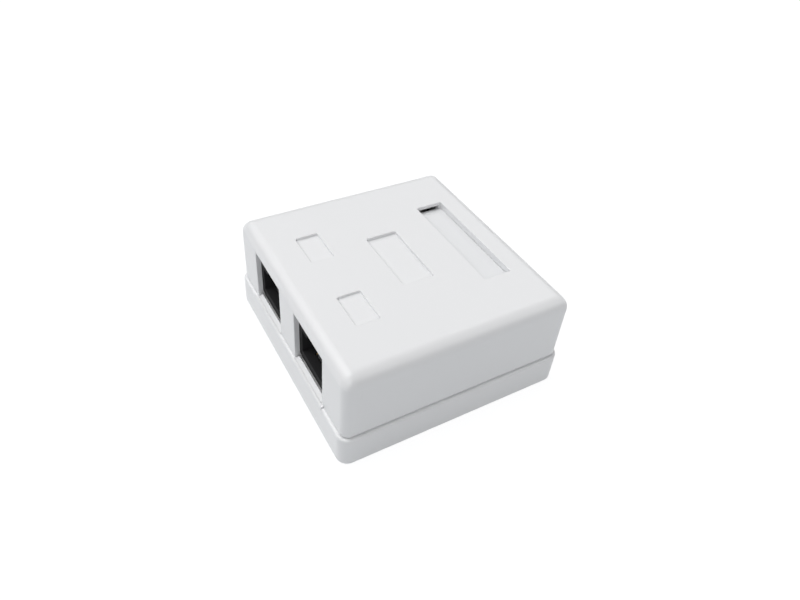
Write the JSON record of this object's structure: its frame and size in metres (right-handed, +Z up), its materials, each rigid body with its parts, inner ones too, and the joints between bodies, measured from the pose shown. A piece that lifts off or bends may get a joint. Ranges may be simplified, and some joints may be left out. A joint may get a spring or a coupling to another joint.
{
  "type": "surface mount jack box",
  "caption": "Low square box with soft edges that holds modular jacks behind square ports, with a lift-off cover, terminal blocks and wall fixings.",
  "frame": {"origin": "middle of the flat underside of the base", "axes": "+X along the port face, +Y from the port face to the back, +Z up from the mounting face to the top of the cover"},
  "size_m": [0.0634, 0.0612, 0.0275],
  "materials": {
    "white_moulding": "fine satin moulded white",
    "label_white": "smooth satin white",
    "screw_steel": "bright zinc plated steel",
    "board_green": "solder mask over glass laminate",
    "jack_black": "black moulded, slight sheen",
    "carrier_grey": "dark grey moulded",
    "contact_gold": "gold plated spring wire",
    "terminal_ivory": "ivory moulded",
    "clip_tin": "tin plated strip",
    "cap_clear": "milky moulded"
  },
  "bodies": {
    "root": {"base": "white_moulding", "circuit_board": "board_green", "board_screws": "screw_steel", "left_jack_housing": "jack_black", "left_contact_carrier": "carrier_grey", "left_spring_contacts": "contact_gold", "left_terminal_block": "terminal_ivory", "left_terminal_clips": "clip_tin", "right_jack_housing": "jack_black", "right_contact_carrier": "carrier_grey", "right_spring_contacts": "contact_gold", "right_terminal_block": "terminal_ivory", "right_terminal_clips": "clip_tin"},
    "cover_body": {"cover": "white_moulding", "cover_screw": "screw_steel"},
    "label_plate_body": {"label_plate": "label_white"},
    "left_inner_cap_body": {"left_inner_wire_cap": "cap_clear"},
    "left_outer_cap_body": {"left_outer_wire_cap": "cap_clear"},
    "right_inner_cap_body": {"right_inner_wire_cap": "cap_clear"},
    "right_outer_cap_body": {"right_outer_wire_cap": "cap_clear"}
  },
  "joints": [
    {"name": "cover_lift", "type": "slide", "parent": "root", "child": "cover_body", "axis": [0, 0, 1], "range_m": [0, 0.03]},
    {"name": "label_plate_lift", "type": "slide", "parent": "cover_body", "child": "label_plate_body", "axis": [0, 0, 1], "range_m": [0, 0.006]},
    {"name": "left_inner_cap_lift", "type": "slide", "parent": "root", "child": "left_inner_cap_body", "axis": [0, 0, 1], "range_m": [0, 0.0042]},
    {"name": "left_outer_cap_lift", "type": "slide", "parent": "root", "child": "left_outer_cap_body", "axis": [0, 0, 1], "range_m": [0, 0.0042]},
    {"name": "right_inner_cap_lift", "type": "slide", "parent": "root", "child": "right_inner_cap_body", "axis": [0, 0, 1], "range_m": [0, 0.0042]},
    {"name": "right_outer_cap_lift", "type": "slide", "parent": "root", "child": "right_outer_cap_body", "axis": [0, 0, 1], "range_m": [0, 0.0042]}
  ]
}
